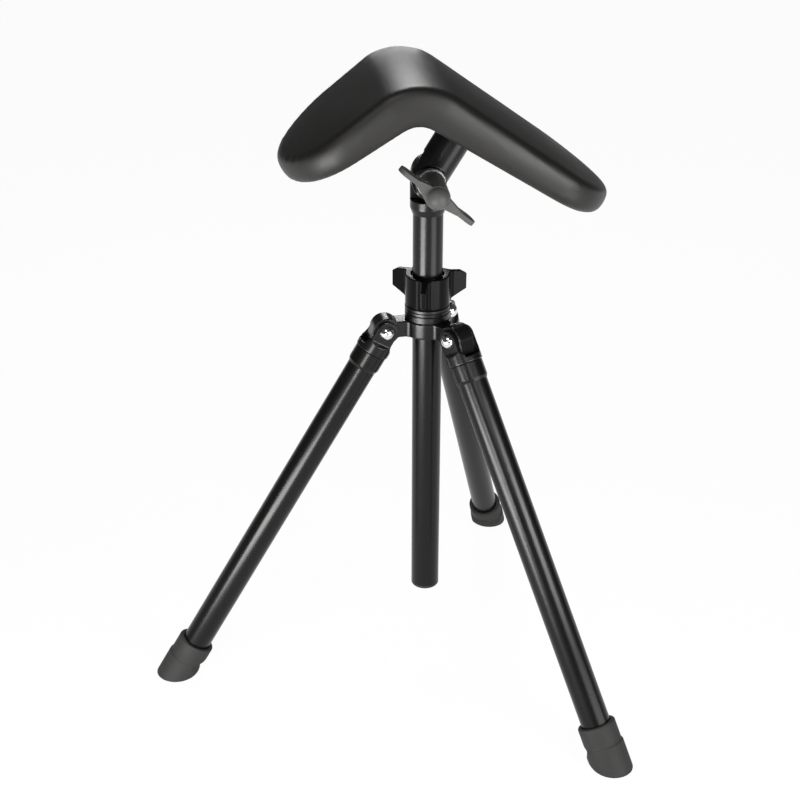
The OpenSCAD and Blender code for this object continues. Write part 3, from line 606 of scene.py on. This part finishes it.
# %% Softened castings and mouldings
def softened(piece, node, body, finish, voxel, passes):
    """A piece made of a CAD node, with its vertices welded, by remeshing."""
    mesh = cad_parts[node].data.copy()
    work = bmesh.new()
    work.from_mesh(mesh)
    bmesh.ops.remove_doubles(work, verts=work.verts, dist=WELD)
    work.to_mesh(mesh)
    work.free()
    made = bpy.data.objects.new(piece, remeshed(mesh, finish, voxel, passes))
    scene.collection.objects.link(made)
    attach(made, body)
    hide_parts(node)
    print(piece, "has", len(made.data.polygons), "faces")


softened("hub_casting", "hub", "hub", CAST_BLACK, 0.7, 4)
softened("clamp_nut_moulding", "clamp_nut", "clamp_nut", NUT_BLACK, 0.5, 4)
softened("head_casting", "tilt_head", "column", CAST_BLACK, 0.6, 3)
softened("stem_casting", "pad_stem", "pad", CAST_BLACK, 0.6, 3)
softened("knob_moulding", "tilt_knob", "knob", KNOB_PLASTIC, 0.35, 5)
for leg in LEGS:
    softened(f"{leg}_fork_casting", f"{leg}_fork", f"{leg}_leg", CAST_BLACK, 0.5, 4)
    softened(f"{leg}_boot_moulding", f"{leg}_boot", f"{leg}_leg", BOOT_RUBBER, 0.6, 6)

# %% [markdown]
# The pad is one moulding of foam with an integral skin: a long arm and a short arm that meet in a
# round ridge. It isn't sewn, so it has no seams, and cloth simulation would make it look stuffed.
# It is lofted instead. One rim runs all the way round: a small edge under the crown, a side that
# swells a little, and a rounder edge at the underside. Each ring of points crosses the pad, and near
# the tips it leans out along the outline's normal, so the rim keeps its form round the tip.

# %% Pad sizes, in millimetres and degrees
PAD = dict(
    # the arms and the ridge between them; the offset is from the stem's axis to the ridge
    long=201.0, short=126.0, bend=64.7, bend_r=22.0, offset=53.6,
    # the section, at the ridge and at the tips
    wide=169.0, tip_wide=152.0, thick=38.0, tip_thick=27.5,
    crown=2.5, edge=7.0, low_edge=8.0,
    # the round tips: their length, the share of thickness each one loses, and how far that lifts it
    cap=62.0, long_loss=0.38, short_loss=0.12, tip_lift=0.85,
)
PAD_UNDERSIDE = 50.5
TILT_HEIGHT = 511.3
HEAD_TURN = 25.2
LEAN = 31.8
BEND_RUN = PAD["bend_r"] * math.tan(math.radians(PAD["bend"] / 2))
STEM_PLACE = (
    Matrix.Translation((0, COLUMN_Y, TILT_HEIGHT * MM))
    @ Matrix.Rotation(math.radians(HEAD_TURN), 4, "Z")
    @ Matrix.Rotation(math.radians(LEAN), 4, "Y")
)
print("pad arms in mm:", PAD["long"], "and", PAD["short"], "bent by", PAD["bend"], "degrees")

# %% [markdown]
# The rim is three arcs that meet without a kink: the low edge, the side and the top edge. Each arc
# ends where its normal has turned by a fixed angle from straight up. The side's own radius is what
# is left of the height when the two edges are taken off.

# %% The rim of the pad
CROWN_TURN = math.radians(4)
CREASE_TURN = math.radians(72)
SIDE_TURN = math.radians(97)
EDGE_SHARE = 0.3
LOW_STEPS, SIDE_STEPS, TOP_STEPS = 8, 10, 9


def turns(start, end, steps):
    return [start + (end - start) * i / steps for i in range(steps)]


def rim(height):
    """The rounded side from the underside to the crown, as (inset from the outline, height)."""
    top, low = (min(PAD[edge], EDGE_SHARE * height) for edge in ("edge", "low_edge"))
    foot = low * (1 + math.cos(SIDE_TURN))
    rest = height - foot - top * (math.cos(CROWN_TURN) - math.cos(CREASE_TURN))
    side = rest / (math.cos(CREASE_TURN) - math.cos(SIDE_TURN))
    widest = foot - side * math.cos(SIDE_TURN)
    crease = side * (1 - math.sin(CREASE_TURN))
    points = []
    for turn in turns(math.pi, SIDE_TURN, LOW_STEPS):
        inset = side * (1 - math.sin(SIDE_TURN)) + low * (math.sin(SIDE_TURN) - math.sin(turn))
        points.append((inset, low + low * math.cos(turn)))
    for turn in turns(SIDE_TURN, CREASE_TURN, SIDE_STEPS):
        points.append((side * (1 - math.sin(turn)), widest + side * math.cos(turn)))
    for turn in turns(CREASE_TURN, CROWN_TURN, TOP_STEPS) + [CROWN_TURN]:
        inset = crease + top * (math.sin(CREASE_TURN) - math.sin(turn))
        points.append((inset, height + top * (math.cos(turn) - math.cos(CROWN_TURN))))
    return points


print("points on the rim:", len(rim(PAD["thick"] - PAD["crown"])))

# %% [markdown]
# A ring starts at the middle of the underside, goes round one side and over the crown, and comes
# back mirrored. The arms get narrower and thinner on the way out, and round the tip the width
# follows a quarter of an ellipse. Between the arms the rings fan round the ridge.

# %% Rings round the pad
UNDER_STEPS, CROWN_STEPS = 6, 15
ARM_STEPS, TIP_STEPS, RIDGE_STEPS = 14, 26, 18
TIP_TURN = math.radians(89.5)


def ring(wide, thick, crown, lift, out_along, out_across):
    """One ring as (along, across, up); the last two values are the outline's outward normal."""
    sides = [
        (-out_along * inset, wide / 2 - out_across * inset, up) for inset, up in rim(thick - crown)
    ]
    along, across, _ = sides[0]
    half = [(along, across * i / UNDER_STEPS, 0.0) for i in range(UNDER_STEPS)] + sides
    along, across, _ = sides[-1]
    for i in range(1, CROWN_STEPS + 1):
        share = 1 - i / CROWN_STEPS
        half.append((along, across * share, thick - crown * share**2))
    both = half + [(x, -y, z) for x, y, z in reversed(half[1:-1])]
    return [(x, y, z + lift) for x, y, z in both]


def taper(name, tip_name, share):
    return PAD[name] - (PAD[name] - PAD[tip_name]) * share


def arm_rings(length, turn, side, loss):
    """The rings of one arm in the stem's frame, from the ridge to the tip."""
    straight = length - PAD["cap"] - BEND_RUN
    rows = [(BEND_RUN + straight * i / ARM_STEPS, 0.0) for i in range(ARM_STEPS)]
    for i in range(TIP_STEPS + 1):
        angle = TIP_TURN * i / TIP_STEPS
        rows.append((length - PAD["cap"] + PAD["cap"] * math.sin(angle), angle))
    rings = []
    for distance, angle in rows:
        wide = taper("wide", "tip_wide", distance / length)
        full = taper("thick", "tip_thick", distance / length)
        thick = full * (1 - loss * (1 - math.cos(angle)) ** 2)
        out = Vector((math.sin(angle) / PAD["cap"], 2 * math.cos(angle) / wide)).normalized()
        crown = PAD["crown"] * math.cos(angle)
        lift = PAD["tip_lift"] * (full - thick)
        shape = ring(wide * math.cos(angle), thick, crown, lift, out.x, out.y)
        rings.append([place(distance + x, turn, side, y, z) for x, y, z in shape])
    return rings


def place(distance, turn, side, across, up):
    """A point of an arm that is bent down by turn; side is 1 for the long arm, -1 for the short."""
    x = -PAD["offset"] + side * distance * math.cos(turn) - up * math.sin(turn)
    return Vector((x, across, PAD_UNDERSIDE - distance * math.sin(turn) + up * math.cos(turn)))


def ridge_rings():
    wide = taper("wide", "tip_wide", BEND_RUN / PAD["long"])
    thick = taper("thick", "tip_thick", BEND_RUN / PAD["long"])
    rings = []
    for i in range(RIDGE_STEPS - 1, 0, -1):
        turn = math.radians(PAD["bend"]) * i / RIDGE_STEPS
        x = -PAD["offset"] + BEND_RUN - PAD["bend_r"] * math.sin(turn)
        z = PAD_UNDERSIDE - PAD["bend_r"] * (1 - math.cos(turn))
        shape = ring(wide, thick, PAD["crown"], 0.0, 0.0, 1.0)
        rings.append(
            [Vector((x - up * math.sin(turn), y, z + up * math.cos(turn))) for _, y, up in shape]
        )
    return rings


pad_rings = (
    list(reversed(arm_rings(PAD["short"], math.radians(PAD["bend"]), -1, PAD["short_loss"])))
    + ridge_rings()
    + arm_rings(PAD["long"], 0.0, 1, PAD["long_loss"])
)
print("rings along the pad:", len(pad_rings))

# %% [markdown]
# The loft gives an exact but slightly stiff form. A voxel remesh makes its faces even, a little
# smoothing lets the edges flow round the tips as foam does, and one subdivision keeps the
# highlight on the ridge clean.

# %% Loft and finish the pad
PAD_VOXEL = 3.0
PAD_PASSES = 6


def loft(rows):
    """One closed mesh through all the rings, with a flat face on each end."""
    shape = bmesh.new()
    rings = [[shape.verts.new(point * MM) for point in row] for row in rows]
    count = len(rings[0])
    for one, two in zip(rings, rings[1:]):
        for i in range(count):
            j = (i + 1) % count
            shape.faces.new((one[i], one[j], two[j], two[i]))
    shape.faces.new(rings[0])
    shape.faces.new(list(reversed(rings[-1])))
    bmesh.ops.recalc_face_normals(shape, faces=shape.faces)
    mesh = bpy.data.meshes.new("pad_loft")
    shape.to_mesh(mesh)
    shape.free()
    return mesh


pad_mesh = remeshed(loft(pad_rings), PAD_SKIN, PAD_VOXEL, PAD_PASSES, subdivisions=1)
pad_mesh.transform(STEM_PLACE)
pad = bpy.data.objects.new("moulded_pad", pad_mesh)
scene.collection.objects.link(pad)
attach(pad, "pad")
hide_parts("pad_cushion")
print("pad faces:", len(pad.data.polygons))

# %% [markdown]
# Four countersunk socket screws hold the flange under the plate. They are the same screw on a
# circle, so a small Geometry Nodes tree makes them: one shank and one tapered head with a hexagon
# socket, put on the points of a circle. The tree ends in Realize Instances and Set Material, and its
# result becomes a plain mesh.

# %% Screws by Geometry Nodes
SCREW_SIZES = {
    "Circle radius": ("NodeSocketFloat", 25.0 * MM),
    "Head radius": ("NodeSocketFloat", 4.5 * MM),
    "Head height": ("NodeSocketFloat", 2.0 * MM),
    "Socket radius": ("NodeSocketFloat", 1.6 * MM),
    "Socket depth": ("NodeSocketFloat", 1.4 * MM),
    "Shank radius": ("NodeSocketFloat", 2.5 * MM),
    "Shank length": ("NodeSocketFloat", 4.2 * MM),
    "Screws": ("NodeSocketInt", 4),
}
HEAD_SIDES, HEXAGON_SIDES, SHANK_SIDES = 40, 6, 24
SOCKET_FOOT = -0.1 * MM
SHANK_FOOT = 1.5 * MM
FIRST_SCREW = math.radians(45)


def bar(tree, sides, foot, top, length, base):
    """A round bar or cone along Z that starts at the height base; the sizes are sockets."""
    body = tree.nodes.new("GeometryNodeMeshCone")
    body.inputs["Vertices"].default_value = sides
    move = tree.nodes.new("GeometryNodeTransform")
    move.inputs["Translation"].default_value = (0, 0, base)
    tree.links.new(foot, body.inputs["Radius Bottom"])
    tree.links.new(top, body.inputs["Radius Top"])
    tree.links.new(length, body.inputs["Depth"])
    tree.links.new(body.outputs["Mesh"], move.inputs["Geometry"])
    return move.outputs["Geometry"]


def screw_ring_tree(finish):
    tree = bpy.data.node_groups.new("screw_ring", "GeometryNodeTree")
    tree.interface.new_socket("Geometry", in_out="INPUT", socket_type="NodeSocketGeometry")
    for label, (kind, value) in SCREW_SIZES.items():
        tree.interface.new_socket(label, in_out="INPUT", socket_type=kind).default_value = value
    tree.interface.new_socket("Geometry", in_out="OUTPUT", socket_type="NodeSocketGeometry")
    size = tree.nodes.new("NodeGroupInput").outputs
    head = bar(tree, HEAD_SIDES, size["Head radius"], size["Shank radius"], size["Head height"], 0.0)
    wrench, deep = size["Socket radius"], size["Socket depth"]
    hexagon = bar(tree, HEXAGON_SIDES, wrench, wrench, deep, SOCKET_FOOT)
    hollow = tree.nodes.new("GeometryNodeMeshBoolean")
    hollow.operation = "DIFFERENCE"
    tree.links.new(head, hollow.inputs["Mesh 1"])
    tree.links.new(hexagon, hollow.inputs["Mesh 2"])
    thin, long = size["Shank radius"], size["Shank length"]
    shank = bar(tree, SHANK_SIDES, thin, thin, long, SHANK_FOOT)
    screw = tree.nodes.new("GeometryNodeJoinGeometry")
    tree.links.new(shank, screw.inputs["Geometry"])
    tree.links.new(hollow.outputs["Mesh"], screw.inputs["Geometry"])
    circle = tree.nodes.new("GeometryNodeMeshCircle")
    tree.links.new(size["Screws"], circle.inputs["Vertices"])
    tree.links.new(size["Circle radius"], circle.inputs["Radius"])
    turned = tree.nodes.new("GeometryNodeTransform")
    turned.inputs["Rotation"].default_value = (0, 0, FIRST_SCREW)
    tree.links.new(circle.outputs["Mesh"], turned.inputs["Geometry"])
    copies = tree.nodes.new("GeometryNodeInstanceOnPoints")
    tree.links.new(turned.outputs["Geometry"], copies.inputs["Points"])
    tree.links.new(screw.outputs["Geometry"], copies.inputs["Instance"])
    real = tree.nodes.new("GeometryNodeRealizeInstances")
    tree.links.new(copies.outputs["Instances"], real.inputs["Geometry"])
    paint = tree.nodes.new("GeometryNodeSetMaterial")
    paint.inputs["Material"].default_value = finish
    tree.links.new(real.outputs["Geometry"], paint.inputs["Geometry"])
    outside = tree.nodes.new("NodeGroupOutput")
    tree.links.new(paint.outputs["Geometry"], outside.inputs["Geometry"])
    return tree


SCREW_RING = screw_ring_tree(BLACKENED_STEEL)
print("sizes in the screw tree:", len(SCREW_SIZES))

# %% Place the screws
STEM_LENGTH = 44.2
seed = bpy.data.objects.new("screws_seed", bpy.data.meshes.new("screws_seed"))
scene.collection.objects.link(seed)
seed.modifiers.new("screw_ring", "NODES").node_group = SCREW_RING
screw_mesh = evaluated(seed)
screw_mesh.transform(STEM_PLACE @ Matrix.Translation((0, 0, STEM_LENGTH * MM)))
screws = bpy.data.objects.new("socket_screws", screw_mesh)
scene.collection.objects.link(screws)
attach(screws, "pad")
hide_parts("flange_screws")
print("screw faces:", len(screw_mesh.polygons))

# %% How much the whole has grown
new_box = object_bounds()
growth = (new_box[1] - new_box[0]) - (cad_box[1] - cad_box[0])
print("grows by, in mm:", [round(change / MM, 2) for change in growth])
